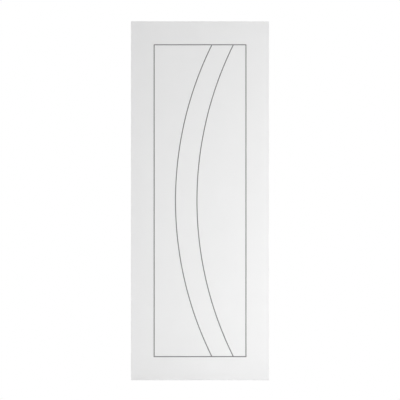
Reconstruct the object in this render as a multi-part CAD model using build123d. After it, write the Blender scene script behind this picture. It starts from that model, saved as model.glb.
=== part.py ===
from build123d import *
import os
from math import asin, degrees

# A solid core door leaf, in millimetres. X runs across from the hinge edge to the lock edge,
# Y through the leaf from the front face to the back face, and Z up from the bottom edge.
# The origin is on the hinge edge, at the middle of its thickness and at the bottom.

leaf_width = 762.0
leaf_height = 1981.0
leaf_thickness = 44.0

# Pieces: two grooved facings over a frame of stiles, rails and lippings, with a core in it
facing_thickness = 6.0
lipping_width = 10.0
stile_width = 35.0
top_rail_height = 45.0
bottom_rail_height = 70.0
arris_radius = 1.2

# Grooves, by their centrelines: a border line, and arcs that span it from bottom to top
border_side = 127.5
border_end = 129.5
first_arc_belly = 118.0
arc_spacing = 118.5
arc_bow = 201.0
arc_count = 2

# Section of a groove, as its router bit leaves it: a vee with a narrow flat floor
groove_width = 6.0
groove_depth = 3.0
groove_floor = 1.0
shoulder_ease = 0.4
bit_lift = 1.0

front_y = -leaf_thickness / 2
core_front_y = front_y + facing_thickness
out_of_face = Vector(0, -1, 0)

border_left = border_side
border_right = leaf_width - border_side
border_bottom = border_end
border_top = leaf_height - border_end
middle_z = leaf_height / 2

half_chord = (border_top - border_bottom) / 2
arc_radius = (half_chord**2 + arc_bow**2) / (2 * arc_bow)
arc_half_angle = degrees(asin(half_chord / arc_radius))


def slab(x_range, y_range, z_range):
    """A plain rectangular piece between three pairs of planes."""
    lows, highs = zip(x_range, y_range, z_range)
    sizes = [high - low for low, high in zip(lows, highs)]
    return Pos(*lows) * Box(*sizes, align=(Align.MIN, Align.MIN, Align.MIN))


def bit_half_profile():
    """Half of a cut's section, from its centreline out: distance, and height over the face."""
    half_width = groove_width / 2
    half_floor = groove_floor / 2
    wall_slope = (half_width - half_floor) / groove_depth
    return [
        (0, -groove_depth),
        (half_floor, -groove_depth),
        (half_width - shoulder_ease * wall_slope, -shoulder_ease),
        (half_width + shoulder_ease, 0),
        (half_width + shoulder_ease, bit_lift),
        (0, bit_lift),
    ]


def section_plane(x, z, across):
    """A plane at a point of the front face, with its x across the cut and its y out of the face."""
    return Plane(origin=(x, front_y, z), x_dir=across, z_dir=across.cross(out_of_face))


def cut_section(plane):
    """A cut's full section, on such a plane."""
    right = bit_half_profile()[1:-1]
    left = [(-distance, height) for distance, height in reversed(right)]
    return plane * make_face(Polyline(*right, *left, close=True))


def straight_cut(start, end):
    """The bit's way in a straight line between two points of the front face, each an x and a z."""
    along = Vector(end[0] - start[0], 0, end[1] - start[1])
    across = out_of_face.cross(along).normalized()
    return extrude(cut_section(section_plane(*start, across)), along.length)


def arc_cut(belly_x):
    """The bit's way along an arc that bows to the hinge edge, from the border's bottom to its top."""
    centre = Vector(belly_x + arc_radius, front_y, middle_z)
    towards_start = Vector(-1, 0, 0).rotate(Axis.Y, arc_half_angle)
    start = centre + towards_start * arc_radius
    section = cut_section(section_plane(start.X, start.Z, towards_start))
    return revolve(section, Axis(centre, out_of_face), 2 * arc_half_angle)


def plunge(x, z):
    """The round end that the turning bit leaves where a cut ends or turns a corner."""
    plane = section_plane(x, z, Vector(1, 0, 0))
    half_section = plane * make_face(Polyline(*bit_half_profile(), close=True))
    return revolve(half_section, Axis(plane.origin, out_of_face))


def border_cuts():
    """The border: four straight cuts that meet at its corners."""
    corners = [
        (border_left, border_bottom),
        (border_left, border_top),
        (border_right, border_top),
        (border_right, border_bottom),
    ]
    cuts = [plunge(*corner) for corner in corners]
    for start, end in zip(corners, corners[1:] + corners[:1]):
        cuts.append(straight_cut(start, end))
    return cuts


def arc_cuts():
    """The arcs, side by side, each ending in the border's bottom and top cuts."""
    cuts = []
    for index in range(arc_count):
        belly_x = border_left + first_arc_belly + index * arc_spacing
        end_x = belly_x + arc_bow
        cuts += [arc_cut(belly_x), plunge(end_x, border_bottom), plunge(end_x, border_top)]
    return cuts


def make_front_facing():
    """The front sheet: the edges of its face are eased, and the grooves are routed into it."""
    sheet = slab((0, leaf_width), (front_y, core_front_y), (0, leaf_height))
    face_edges = sheet.faces().sort_by(Axis.Y).first.edges()
    sheet = fillet(face_edges, arris_radius)
    for cut in border_cuts() + arc_cuts():
        sheet -= cut
    return sheet


def make_frame_and_core():
    """The pieces between the facings, edge to edge: lippings, stiles, rails and the core."""
    between_facings = (core_front_y, -core_front_y)
    full_height = (0, leaf_height)
    stile_start = lipping_width
    core_start = lipping_width + stile_width
    core_end = leaf_width - core_start
    stile_end = leaf_width - stile_start
    core_width = (core_start, core_end)
    top_rail_z = leaf_height - top_rail_height
    spans = {
        "hinge_edge_lipping": ((0, stile_start), full_height),
        "hinge_stile": ((stile_start, core_start), full_height),
        "lock_stile": ((core_end, stile_end), full_height),
        "lock_edge_lipping": ((stile_end, leaf_width), full_height),
        "bottom_rail": (core_width, (0, bottom_rail_height)),
        "core": (core_width, (bottom_rail_height, top_rail_z)),
        "top_rail": (core_width, (top_rail_z, leaf_height)),
    }
    pieces = {}
    for name, (x_range, z_range) in spans.items():
        pieces[name] = slab(x_range, between_facings, z_range)
    return pieces


def make_leaf():
    """Every piece of the leaf by name. The back facing mirrors the front one."""
    front_facing = make_front_facing()
    back_facing = front_facing.mirror(Plane.XZ)
    return {"front_facing": front_facing, "back_facing": back_facing, **make_frame_and_core()}


os.makedirs("parts", exist_ok=True)
for name, piece in make_leaf().items():
    export_step(piece, f"parts/{name}.step")
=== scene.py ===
from math import cos, dist, pi, sin, sqrt

import bmesh
import bpy
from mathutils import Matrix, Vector


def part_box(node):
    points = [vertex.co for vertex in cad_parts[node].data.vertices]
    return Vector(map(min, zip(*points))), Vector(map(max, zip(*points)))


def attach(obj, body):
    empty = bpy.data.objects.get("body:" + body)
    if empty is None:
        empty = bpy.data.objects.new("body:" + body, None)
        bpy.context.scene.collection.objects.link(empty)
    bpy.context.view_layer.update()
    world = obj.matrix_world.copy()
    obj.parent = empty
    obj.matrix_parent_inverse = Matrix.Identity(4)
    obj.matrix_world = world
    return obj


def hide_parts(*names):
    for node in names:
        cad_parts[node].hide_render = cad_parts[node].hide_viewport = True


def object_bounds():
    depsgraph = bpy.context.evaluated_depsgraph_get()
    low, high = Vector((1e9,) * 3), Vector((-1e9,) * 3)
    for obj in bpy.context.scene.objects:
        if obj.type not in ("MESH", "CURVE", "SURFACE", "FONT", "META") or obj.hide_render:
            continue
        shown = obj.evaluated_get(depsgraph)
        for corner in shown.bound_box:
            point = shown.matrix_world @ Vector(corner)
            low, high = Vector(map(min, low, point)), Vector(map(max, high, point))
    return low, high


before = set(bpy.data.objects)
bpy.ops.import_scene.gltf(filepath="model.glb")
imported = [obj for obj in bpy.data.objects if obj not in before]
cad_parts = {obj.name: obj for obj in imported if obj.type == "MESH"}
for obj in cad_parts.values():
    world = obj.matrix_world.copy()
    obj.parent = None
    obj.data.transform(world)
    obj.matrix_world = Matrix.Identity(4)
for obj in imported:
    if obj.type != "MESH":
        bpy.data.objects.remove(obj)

# The dressing of a solid core door leaf, in metres, in the frame of its solids: X across
# from the hinge edge, Y from the front face to the back face, Z up from the bottom edge.

cad_low, cad_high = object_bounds()
leaf_width = cad_high.x
leaf_height = cad_high.z
face_y = cad_high.y
facing_thickness = face_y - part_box("core")[1].y

# Grooves, by their centrelines, as in the solids: a border line, and arcs that span it
border_side = 0.1275
border_end = 0.1295
first_arc_belly = 0.118
arc_spacing = 0.1185
arc_bow = 0.201
arc_count = 2

# A groove's section, as in the solids: a vee with a narrow flat floor and eased shoulders
groove_width = 0.006
groove_depth = 0.003
groove_floor = 0.001
shoulder_ease = 0.0004

# How far its corners are rounded, and how far from its centreline the flat face starts
section_ease = 0.0003
groove_rim = 0.0042

# The rounding of the face's outer edge, and the flat strips beside it
arris_radius = 0.0012
rim_width = 0.0006

# How far the glued edges of the pieces are rounded off, which leaves a hairline along each joint
seam_ease = 0.00015

# How finely the facings are meshed, and how near points are joined
upright_steps = 160
corner_steps = 8
ease_steps = 4
arris_steps = 5
same_point = 1e-6

# The names of a mesh's attribute for how deep in a groove each point is, from 0 to 1, and of its map
groove_mark = "groove"
map_name = "OFBake"

# The places of a facing's materials: the one of its face, and the one of its edge and back
face_finish = 0
edge_finish = 1

# A facing's map, as a sheet in metres: its face as it is, and beside it columns for the grooves
# and for the edges, each one straight and widened this many times, and the back, shrunk
map_gap = 0.012
groove_widened = 6
edge_widened = 4
back_shrunk = 0.04

# A timber strip's map, as shares of its sides: a column for each long side of the strip, beside
# them a cell over a cell for its ends, and a gap round the inside of each
side_column = 0.17
end_height = 0.5
cell_gap = 0.008

border_left = border_side
border_right = leaf_width - border_side
border_bottom = border_end
border_top = leaf_height - border_end
middle_x = leaf_width / 2
middle_z = leaf_height / 2
half_chord = (border_top - border_bottom) / 2
arc_radius = (half_chord**2 + arc_bow**2) / (2 * arc_bow)


def straight_upright(x):
    """The x of a straight line at a height, moved sideways by a shift."""
    return lambda z, shift: x + shift


def arc_upright(belly_x):
    """The x of an arc that bows to the left, at a height, moved sideways by a shift."""
    centre_x = belly_x + arc_radius
    return lambda z, shift: centre_x - sqrt((arc_radius - shift) ** 2 - (z - middle_z) ** 2)


arcs = [arc_upright(border_left + first_arc_belly + i * arc_spacing) for i in range(arc_count)]
arc_ends = [arc(border_top, 0) for arc in arcs]
uprights = [straight_upright(border_left), *arcs, straight_upright(border_right)]

# Where the columns of a facing's map start, how far apart they are, and the last column of the
# edges, which the two short ones share
groove_columns = leaf_width + 2 * map_gap
groove_pitch = 2 * groove_rim * groove_widened + map_gap
edge_columns = groove_columns + (len(uprights) + 1) * groove_pitch
edge_pitch = (arris_radius * pi / 2 + facing_thickness) * edge_widened + map_gap
short_edge_column = 2
map_width = edge_columns + (short_edge_column + 1) * edge_pitch
map_height = leaf_height + 2 * map_gap


def heights(inset):
    """The heights at which every upright has a point, from an inset over the border's bottom up."""
    low, high = border_bottom + inset, border_top - inset
    return [low + (high - low) * i / upright_steps for i in range(upright_steps + 1)]


def panel_ring(left, right, inset):
    """The outline of the panel between two uprights, an inset inside them: up the left, down the right."""
    levels = heights(inset)
    left_points = [(left(z, inset), z) for z in levels]
    right_points = [(right(z, -inset), z) for z in reversed(levels)]
    return left_points + right_points


def round_corner():
    """Weights of a corner's first and second direction along a round corner."""
    angles = [pi / 2 * i / corner_steps for i in range(corner_steps + 1)]
    return [(cos(angle), sin(angle)) for angle in angles]


def square_corner():
    """The same along a square corner, which is the middle one of its points."""
    half = corner_steps // 2
    return [(min(1, 2 - i / half), min(1, i / half)) for i in range(corner_steps + 1)]


def outer_ring(side_margin, end_margin, corner_weights):
    """An outline round the border, margins outside it, from its lower left corner and up the left."""
    left, right = border_left - side_margin, border_right + side_margin
    low, high = border_bottom - end_margin, border_top + end_margin
    levels = heights(0)[1:-1]
    down, up = (0, -end_margin), (0, end_margin)
    leftward, rightward = (-side_margin, 0), (side_margin, 0)
    parts = [
        ((border_left, border_bottom), down, leftward, [(left, z) for z in levels]),
        ((border_left, border_top), leftward, up, [(x, high) for x in arc_ends]),
        ((border_right, border_top), up, rightward, [(right, z) for z in reversed(levels)]),
        ((border_right, border_bottom), rightward, down, [(x, low) for x in reversed(arc_ends)]),
    ]
    points = []
    for (x, z), first, second, side in parts:
        for a, b in corner_weights:
            points.append((x + a * first[0] + b * second[0], z + a * first[1] + b * second[1]))
        points += side
    return points


def outer_ring_corners():
    """The places of an outer ring's four corners among its points."""
    places = [corner_steps // 2]
    for side_points in (upright_steps - 1, arc_count, upright_steps - 1):
        places.append(places[-1] + corner_steps + 1 + side_points)
    return places


def eased(corners, cut, steps):
    """A polyline with a short curve in place of each inner corner."""
    corners = [Vector(corner) for corner in corners]
    points = corners[:1]
    for before, corner, after in zip(corners, corners[1:], corners[2:]):
        enter = corner + (before - corner).normalized() * cut
        leave = corner + (after - corner).normalized() * cut
        for step in range(steps + 1):
            t = step / steps
            points.append(enter.lerp(corner, t).lerp(corner.lerp(leave, t), t))
    return points + corners[-1:]


def groove_section():
    """A groove's section from its centreline out to the flat face: distance and depth."""
    half_width, half_floor = groove_width / 2, groove_floor / 2
    wall_slope = (half_width - half_floor) / groove_depth
    corners = [
        (0, groove_depth),
        (half_floor, groove_depth),
        (half_width - shoulder_ease * wall_slope, shoulder_ease),
        (half_width + shoulder_ease, 0),
        (groove_rim, 0),
    ]
    return eased(corners, section_ease, ease_steps)


def edge_section():
    """A facing's outer edge from its face round to its back: inset from the leaf's edge, and depth."""
    section = [(arris_radius + rim_width, 0)]
    for step in range(arris_steps + 1):
        angle = pi / 2 * step / arris_steps
        section.append((arris_radius * (1 - sin(angle)), arris_radius * (1 - cos(angle))))
    section += [(0, arris_radius + rim_width), (0, facing_thickness - seam_ease)]
    return section + [(seam_ease, facing_thickness)]


def runs_up(corners):
    """Whether a face beside a groove or edge is on an upright stretch of it, by its outer corners."""
    (x0, z0), (x1, z1) = corners[-2:]
    return abs(z1 - z0) > abs(x1 - x0)


def face_spots(corners):
    """Where a part of the flat face lies on the map."""
    return [(map_gap + x, map_gap + z) for x, z in corners]


def groove_spots(corners):
    """Where a part of a groove lies on the map: each upright has a column, and the last one holds
    the border's bottom line and, above it, the top one."""
    middle_corner = [sum(places) / len(corners) for places in zip(*corners)]
    if runs_up(corners):
        off = [abs(middle_corner[0] - upright(middle_corner[1], 0)) for upright in uprights]
        column = off.index(min(off))
        spots = [(x - uprights[column](z, 0), z) for x, z in corners]
    else:
        column = len(uprights)
        at_top = middle_corner[1] > middle_z
        line, start = (border_top, leaf_width + map_gap) if at_top else (border_bottom, 0)
        spots = [(z - line, start + x) for x, z in corners]
    left = groove_columns + column * groove_pitch + groove_rim * groove_widened
    return [(left + across * groove_widened, map_gap + along) for across, along in spots]


def edge_spots(corners, across):
    """Where a part of the outer edge lies on the map: the long edges have a column each, and the
    last one holds the bottom edge and, above it, the top one. across is how far each corner is
    round the edge from the face."""
    first_x, first_z = corners[0]
    if runs_up(corners):
        column = 0 if first_x < middle_x else 1
        along = [z for x, z in corners]
    else:
        column = short_edge_column
        start = leaf_width + map_gap if first_z > middle_z else 0
        along = [start + x for x, z in corners]
    left = edge_columns + column * edge_pitch
    return [(left + a * edge_widened, map_gap + b) for a, b in zip(across, along)]


def back_spots(corners):
    """Where the glued back lies on the map, above the short edges."""
    left = edge_columns + short_edge_column * edge_pitch
    low = 2 * (leaf_width + map_gap) + map_gap
    return [(left + x * back_shrunk, low + z * back_shrunk) for x, z in corners]


class Facing:
    """The mesh of one grooved facing, made of rings of points and the faces between them.
    facing_side is -1 for the front, whose face is at the lowest y, and 1 for the back."""

    def __init__(self, facing_side):
        self.facing_side = facing_side
        self.bm = bmesh.new()
        self.in_groove = self.bm.verts.layers.float.new(groove_mark)
        self.on_map = self.bm.loops.layers.uv.new(map_name)

    def ring(self, points, depth, groove=0.0):
        """Points at a depth under the face."""
        verts = [self.bm.verts.new((x, self.facing_side * (face_y - depth), z)) for x, z in points]
        for vert in verts:
            vert[self.in_groove] = groove
        return verts

    def face(self, verts, find_spots, *args):
        """A face, and its place on the map."""
        face = self.bm.faces.new(verts)
        spots = find_spots([(vert.co.x, vert.co.z) for vert in verts], *args)
        for loop, (across, along) in zip(face.loops, spots):
            loop[self.on_map].uv = (across / map_width, along / map_height)
        return face

    def bridge(self, ring, wider, find_spots, *args, sharp=(), material=face_finish):
        """The faces between two rings, with sharp edges at some of their points."""
        for i, vert in enumerate(ring):
            face = self.face((ring[i - 1], vert, wider[i], wider[i - 1]), find_spots, *args)
            face.material_index = material
        for i in sharp:
            self.bm.edges.get((ring[i], wider[i])).smooth = False

    def groove_side(self, outline, sharp=()):
        """One side of a groove, from its centreline out to the flat face. outline gives its points
        at a distance from the centreline. Returns the last ring."""
        rings = []
        for distance, depth in groove_section():
            rings.append(self.ring(outline(distance), depth, depth / groove_depth))
        for ring, wider in zip(rings, rings[1:]):
            self.bridge(ring, wider, groove_spots, sharp=sharp)
        return rings[-1]

    def panel(self, left, right):
        """The panel between two uprights, and the sides of the grooves round it."""
        corners = (0, upright_steps, upright_steps + 1, 2 * upright_steps + 1)
        rim = self.groove_side(lambda inset: panel_ring(left, right, inset), corners)
        for i in range(upright_steps):
            self.face((rim[i], rim[i + 1], rim[-2 - i], rim[-1 - i]), face_spots)

    def surround(self):
        """The face outside the border, and the outer edge round to the back. Returns the last ring."""
        rim = self.groove_side(lambda margin: outer_ring(margin, margin, round_corner()))
        section = edge_section()
        rings = []
        for inset, depth in section:
            outline = outer_ring(border_side - inset, border_end - inset, square_corner())
            rings.append(self.ring(outline, depth))
        self.bridge(rim, rings[0], face_spots)
        corners = outer_ring_corners()
        across = 0
        for i, (ring, wider) in enumerate(zip(rings, rings[1:])):
            reached = across + dist(section[i], section[i + 1])
            places = (across, across, reached, reached)
            material = edge_finish if i > arris_steps else face_finish
            self.bridge(ring, wider, edge_spots, places, sharp=corners, material=material)
            across = reached
        return rings[-1]


def build_facing(name, facing_side):
    """One grooved facing, at the front or the back, which waits for its two materials."""
    facing = Facing(facing_side)
    for left, right in zip(uprights, uprights[1:]):
        facing.panel(left, right)
    last_ring = facing.surround()
    back = facing.face(last_ring[::-1], back_spots)
    back.material_index = edge_finish
    bm = facing.bm
    bmesh.ops.remove_doubles(bm, verts=bm.verts, dist=same_point)
    bmesh.ops.recalc_face_normals(bm, faces=bm.faces)
    for face in bm.faces:
        face.smooth = True
    for edge in back.edges:
        edge.smooth = False
    return add_piece(name, bm)


def timber_spot(facing, outwards, grain, share):
    """Where a corner of a strip's face lies on its map. facing is the axis that the face looks
    along, and share is how far the corner is from the strip's lowest corner, from 0 to 1."""
    others = [axis for axis in "xyz" if axis not in (facing, grain)]
    if facing == grain:
        # An end, past the columns of the strip's four long sides
        left = 4 * side_column
        low = end_height if outwards else 0
        width, height = 1 - left, end_height
        across, along = others
    else:
        left = (2 * (facing == "y") + outwards) * side_column
        low = 0
        width, height = side_column, 1
        across, along = others[0], grain
    return (
        left + cell_gap + share[across] * (width - 2 * cell_gap),
        low + cell_gap + share[along] * (height - 2 * cell_gap),
    )


def build_timber(name, node, grain):
    """One strip of timber of the frame or the edges: a cube stretched to its node's box, and eased."""
    low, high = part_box(node)
    bm = bmesh.new()
    bmesh.ops.create_cube(bm, size=1)
    for vert in bm.verts:
        vert.co = [a + (b - a) * (c + 0.5) for a, b, c in zip(low, high, vert.co)]
    bmesh.ops.bevel(bm, geom=bm.edges[:], offset=seam_ease, segments=2, profile=0.5, affect="EDGES")
    bm.normal_update()
    on_map = bm.loops.layers.uv.new(map_name)
    for face in bm.faces:
        facing = max("xyz", key=lambda axis: abs(getattr(face.normal, axis)))
        outwards = getattr(face.normal, facing) > 0
        for loop in face.loops:
            corner = zip("xyz", low, high, loop.vert.co)
            share = {axis: (c - a) / (b - a) for axis, a, b, c in corner}
            loop[on_map].uv = timber_spot(facing, outwards, grain, share)
    return add_piece(name, bm)


def add_piece(name, bm):
    """Puts a finished mesh in the scene."""
    mesh = bpy.data.meshes.new(name)
    bm.to_mesh(mesh)
    bm.free()
    piece = bpy.data.objects.new(name, mesh)
    bpy.context.scene.collection.objects.link(piece)
    return piece


def grey(value):
    """An opaque grey."""
    return (value, value, value, 1.0)


# A Mix node's sockets for colours, which share their names with its sockets for numbers
mix_first, mix_second, mix_result = 6, 7, 2


class Nodes:
    """A tree of shader nodes, and short ways to add to it."""

    def __init__(self, tree):
        self.tree = tree

    def node(self, kind, inputs, **settings):
        """A node with its settings, and its inputs fed with values or other nodes' outputs."""
        node = self.tree.nodes.new(kind)
        for name, value in settings.items():
            setattr(node, name, value)
        for name, value in inputs.items():
            self.feed(node.inputs[name], value)
        return node

    def feed(self, socket, value):
        """Links an input to another node's output, or sets its value."""
        if isinstance(value, bpy.types.NodeSocket):
            self.tree.links.new(value, socket)
        else:
            socket.default_value = value

    def noise(self, place, scale, detail=3.0):
        """A smooth noise, from 0 to 1, with about so many bumps to the metre."""
        inputs = {"Vector": place, "Scale": scale, "Detail": detail}
        return self.node("ShaderNodeTexNoise", inputs).outputs["Fac"]

    def span(self, value, low, high, to_low=0.0, to_high=1.0):
        """A value's range carried to another one, with nothing beyond its ends."""
        inputs = {"Value": value, "From Min": low, "From Max": high, "To Min": to_low, "To Max": to_high}
        return self.node("ShaderNodeMapRange", inputs).outputs["Result"]

    def math(self, operation, *values):
        return self.node("ShaderNodeMath", dict(enumerate(values)), operation=operation).outputs[0]

    def sum(self, first, second):
        return self.math("ADD", first, second)

    def product(self, first, second):
        return self.math("MULTIPLY", first, second)

    def vector(self, operation, *values):
        """A sum on vectors, or the number that a length is."""
        node = self.node("ShaderNodeVectorMath", dict(enumerate(values)), operation=operation)
        return node.outputs["Value" if operation == "LENGTH" else "Vector"]

    def blend(self, factor, first, second):
        """A colour between two."""
        inputs = {"Factor": factor, mix_first: first, mix_second: second}
        return self.node("ShaderNodeMix", inputs, data_type="RGBA").outputs[mix_result]

    def bump(self, height, depth, over=None):
        """A bump of a height from 0 to 1 that stands for so many metres."""
        node = self.node("ShaderNodeBump", {"Height": height, "Distance": depth})
        if over is not None:
            self.feed(node.inputs["Normal"], over)
        return node.outputs["Normal"]

    def seen_directly(self):
        """1 for the camera's rays, mirrored and refracted ones too, and 0 for the light on the object."""
        rays = self.node("ShaderNodeLightPath", {}).outputs
        seen = self.math("MAXIMUM", rays["Is Camera Ray"], rays["Is Glossy Ray"])
        return self.math("MAXIMUM", seen, rays["Is Transmission Ray"])


class Finish(Nodes):
    """A material."""

    def __init__(self, name):
        self.material = bpy.data.materials.new(name)
        self.material.use_nodes = True
        super().__init__(self.material.node_tree)
        self.shader = self.tree.nodes["Principled BSDF"]
        self.place = self.node("ShaderNodeTexCoord", {}).outputs["Object"]

    def set(self, **inputs):
        """Feeds the shader's inputs, named with underscores in place of spaces."""
        for name, value in inputs.items():
            self.feed(self.shader.inputs[name.replace("_", " ")], value)

    def stretched(self, x, y, z):
        """The place on the object, scaled along each axis."""
        return self.node("ShaderNodeMapping", {"Vector": self.place, "Scale": (x, y, z)}).outputs[0]


# The range of nearly all of a noise's values, and of the mean of two noises
noise_range = (0.3, 0.7)
mean_range = (0.35, 0.65)


def facing_primer():
    """White primer, sprayed over smooth board, and painted shade in the grooves: a dark grey in place of
    their shadow.
    """
    finish = Finish("facing_primer")
    mottle = finish.noise(finish.place, scale=7.0)
    speckle = finish.noise(finish.place, scale=900.0)
    tone = finish.sum(finish.product(mottle, 0.5), finish.product(speckle, 0.5))
    paint = finish.blend(finish.span(tone, *mean_range), grey(0.862), grey(0.878))

    # Painted shade: the grooves' dark grey starts at a groove's shoulder, and is whole from a third of the
    # groove's depth down
    groove = finish.node("ShaderNodeAttribute", {}, attribute_name=groove_mark).outputs["Fac"]
    inside = finish.span(groove, low=0.02, high=0.3)
    # The painted shade's greys, for the groove's shadow
    groove_painted_shade = finish.blend(speckle, grey(0.20), grey(0.27))
    satin = finish.span(speckle, *noise_range, to_low=0.4, to_high=0.48)
    duller_by = finish.product(inside, 0.25)
    stipple = finish.noise(finish.place, scale=620.0, detail=2.0)
    peel = finish.noise(finish.place, scale=160.0, detail=1.0)
    finish.set(
        Base_Color=finish.blend(inside, paint, groove_painted_shade),
        Roughness=finish.sum(satin, duller_by),
        Normal=finish.bump(stipple, depth=0.00002, over=finish.bump(peel, depth=0.00003)),
    )
    return finish.material


def board_edge_primer():
    """Primer on the cut edge of the facing's board, which drinks it and stays a little rough."""
    finish = Finish("board_edge_primer")
    fuzz = finish.noise(finish.stretched(1.0, 3.0, 1.0), scale=700.0, detail=4.0)
    finish.set(
        Base_Color=finish.blend(finish.span(fuzz, *noise_range), grey(0.80), grey(0.86)),
        Roughness=finish.span(fuzz, *noise_range, to_low=0.55, to_high=0.7),
        Normal=finish.bump(fuzz, depth=0.00006),
    )
    return finish.material


# Wood's figure: how much it is drawn out along the grain, how far its rings wander from round, in
# ring widths, and the rings' share of it, where the fibres have the rest
grain_stretch = 0.02
ring_wander = 3.0
ring_share = 0.6


def timber_primer(node, grain, ring_width, grown_at, paint, wood, coat):
    """Primer over a strip of timber. Its growth rings lie about a line along the grain, which is given
    by its distances from the strip's lowest corner, and show through, as bends at its ends and as
    lines along it. The coat is how much of the wood it hides."""
    finish = Finish(node + "_primer")
    along = {"x": (grain_stretch, 1.0, 1.0), "z": (1.0, 1.0, grain_stretch)}[grain]
    across = {"x": (0, 1, 1), "z": (1, 1, 0)}[grain]
    heart = Vector(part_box(node)[0]) + Vector(grown_at)
    from_heart = finish.vector("SUBTRACT", finish.place, heart)
    radius = finish.vector("LENGTH", finish.vector("MULTIPLY", from_heart, across))
    drift = finish.noise(finish.stretched(*along), scale=45.0, detail=2.0)
    wander = finish.product(drift, ring_wander * ring_width)
    turn = finish.math("FRACT", finish.math("DIVIDE", finish.sum(radius, wander), ring_width))

    # Each ring darkens outwards, and ends sharply
    darkens = finish.span(turn, low=0.35, high=0.9)
    ends = finish.span(turn, low=1.0, high=0.94)
    late_wood = finish.product(darkens, ends)
    strands = finish.noise(finish.stretched(*along), scale=1400.0, detail=4.0)
    fibre = finish.span(strands, *noise_range)
    figure = finish.sum(finish.product(late_wood, ring_share), finish.product(fibre, 1.0 - ring_share))
    thin_spots = finish.span(finish.noise(finish.place, scale=30.0), *noise_range, to_low=0.55)
    shown = finish.product(finish.product(figure, thin_spots), 1.0 - coat)
    finish.set(
        Base_Color=finish.blend(shown, paint, wood),
        Roughness=finish.span(figure, 0.0, 1.0, to_low=0.45, to_high=0.62),
        Normal=finish.bump(figure, depth=0.00005),
    )
    return finish.material


def core_board():
    """Bare particleboard, which the frame hides."""
    finish = Finish("core_board")
    chips = finish.node("ShaderNodeTexVoronoi", {"Vector": finish.place, "Scale": 350.0})
    from_middle = chips.outputs["Distance"]
    pale, dark = (0.55, 0.4, 0.24, 1.0), (0.36, 0.24, 0.13, 1.0)
    finish.set(
        Base_Color=finish.blend(finish.span(from_middle, low=0.0, high=0.8), pale, dark),
        Roughness=0.85,
        Normal=finish.bump(from_middle, depth=0.0002),
    )
    return finish.material


def stand_for(piece, node):
    """Puts a piece on the leaf in the place of a node."""
    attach(piece, "root")
    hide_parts(node)


def dress_facings():
    """Both grooved facings, under the same two materials."""
    finishes = [facing_primer(), board_edge_primer()]
    for name, node, facing_side in (("front_face", "front_facing", -1), ("back_face", "back_facing", 1)):
        facing = build_facing(name, facing_side)
        for finish in finishes:
            facing.data.materials.append(finish)
        stand_for(facing, node)


def dress_timbers(timbers, paint, wood, coat):
    """Strips of one wood under one coat. Each has its node, its grain, its rings' width, and where
    they centre."""
    for node, grain, ring_width, grown_at in timbers:
        strip = build_timber(node + "_strip", node, grain)
        strip.data.materials.append(timber_primer(node, grain, ring_width, grown_at, paint, wood, coat))
        stand_for(strip, node)


def dress_core():
    """Keeps the core's node, with a finish of its own."""
    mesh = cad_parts["core"].data
    mesh.materials.clear()
    mesh.materials.append(core_board())


lippings = [
    ("hinge_edge_lipping", "z", 0.0014, (-0.030, 0.012, 0)),
    ("lock_edge_lipping", "z", 0.0016, (0.045, -0.020, 0)),
]
stiles_and_rails = [
    ("hinge_stile", "z", 0.0028, (0.050, 0.004, 0)),
    ("lock_stile", "z", 0.0023, (-0.012, 0.041, 0)),
    ("top_rail", "x", 0.0026, (0, 0.006, -0.018)),
    ("bottom_rail", "x", 0.0024, (0, 0.022, 0.085)),
]
hardwood, softwood = (0.74, 0.70, 0.64, 1.0), (0.62, 0.53, 0.40, 1.0)

dress_facings()
dress_timbers(lippings, paint=grey(0.865), wood=hardwood, coat=0.75)
dress_timbers(stiles_and_rails, paint=grey(0.83), wood=softwood, coat=0.35)
dress_core()

# The studio: a floor under the leaf, white around, and lamps in front, behind and above. The
# floor's emission grows from nothing at the leaf's foot to its full strength at this reach, a painted
# shadow.

floor_reach = 30.0
painted_shadow_reach = 1.6
floor_glow = 0.56


def pale_floor():
    """The studio's floor: white to the camera and to what mirrors it, but for the leaf's real shadow and a
    painted shadow round its foot.
    """
    finish = Finish("pale_floor")
    cloud = finish.noise(finish.place, scale=0.8)
    from_middle = finish.vector("ABSOLUTE", finish.vector("SUBTRACT", finish.place, (middle_x, 0, 0)))
    beyond_foot = finish.vector("SUBTRACT", from_middle, (middle_x, face_y, 0))
    away = finish.vector("LENGTH", finish.vector("MAXIMUM", beyond_foot, (0, 0, 0)))
    # Painted shadow: less emission near the leaf's foot, and none at it
    glow_with_painted_shadow = finish.span(away, 0.0, painted_shadow_reach, to_high=floor_glow)
    finish.set(
        Base_Color=finish.blend(cloud, grey(0.84), grey(0.88)),
        Roughness=0.7,
        Emission_Color=grey(1.0),
        Emission_Strength=finish.product(finish.seen_directly(), glow_with_painted_shadow),
    )
    return finish.material


def build_floor():
    """The floor, which belongs to the stage and not to the leaf."""
    left, right = middle_x - floor_reach, middle_x + floor_reach
    front, back = -floor_reach, floor_reach
    mesh = bpy.data.meshes.new("floor")
    corners = [(left, front, 0), (right, front, 0), (right, back, 0), (left, back, 0)]
    mesh.from_pydata(corners, [], [(0, 1, 2, 3)])
    mesh.materials.append(pale_floor())
    floor = bpy.data.objects.new("floor", mesh)
    bpy.context.scene.collection.objects.link(floor)


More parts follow.
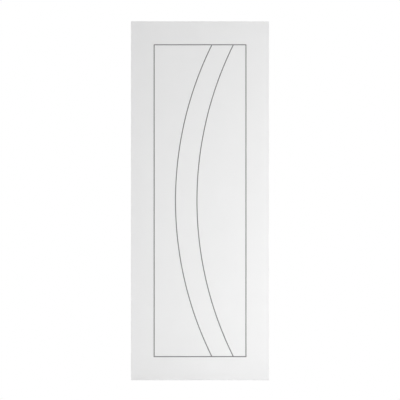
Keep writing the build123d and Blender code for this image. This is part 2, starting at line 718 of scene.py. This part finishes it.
def build_world(strength):
    """White to the camera and to what mirrors it, and a plainer light on the object."""
    world = bpy.data.worlds.new("studio")
    bpy.context.scene.world = world
    world.use_nodes = True
    nodes = Nodes(world.node_tree)
    background = nodes.tree.nodes["Background"]
    nodes.feed(background.inputs["Color"], grey(1.0))
    level = nodes.span(nodes.seen_directly(), 0.0, 1.0, to_low=strength)
    nodes.feed(background.inputs["Strength"], level)


def add_lamp(name, place, target, size, power, spread=pi):
    """A round lamp that shines at a target, and that the camera doesn't see."""
    light = bpy.data.lights.new(name, "AREA")
    light.shape = "DISK"
    light.size = size
    light.energy = power
    light.spread = spread
    lamp = bpy.data.objects.new(name, light)
    lamp.location = place
    lamp.rotation_euler = (Vector(target) - Vector(place)).to_track_quat("-Z", "Y").to_euler()
    lamp.visible_camera = False
    bpy.context.scene.collection.objects.link(lamp)


def add_lamps():
    """A key light low in front, one down on the floor before the leaf, and others behind and above."""
    leaf_foot, leaf_middle = (middle_x, 0, 0), (middle_x, 0, middle_z)
    add_lamp("key", place=(2.4, -3.2, 0.8), target=leaf_middle, size=1.2, power=53)
    add_lamp("floor_wash", place=(0.8, -1.2, 2.6), target=(0.8, -1.2, 0), size=0.6, power=2.5, spread=1.1)
    add_lamp("back", place=(-1.6, 3.4, 1.8), target=leaf_middle, size=1.2, power=60)
    add_lamp("top", place=(middle_x, 0, 4.2), target=leaf_foot, size=0.4, power=12)


# The camera looks level and square at the front face, with no perspective. In the photograph,
# 400 pixels square, the leaf's top and bottom edges are at these rows.
photo_side = 400
photo_top = 21.3
photo_bottom = 380.11
camera_distance = 3.5


def add_camera():
    """The photograph's view of the leaf."""
    pixel = leaf_height / (photo_bottom - photo_top)
    camera_z = leaf_height - (photo_side / 2 - photo_top) * pixel
    camera_data = bpy.data.cameras.new("camera")
    camera_data.type = "ORTHO"
    camera_data.ortho_scale = photo_side * pixel
    camera = bpy.data.objects.new("camera", camera_data)
    camera.location = (middle_x, -camera_distance, camera_z)
    camera.rotation_euler = (pi / 2, 0, 0)
    bpy.context.scene.collection.objects.link(camera)
    bpy.context.scene.camera = camera


build_floor()
build_world(strength=0.507)
add_lamps()
add_camera()
bpy.context.scene.view_settings.view_transform = "Standard"
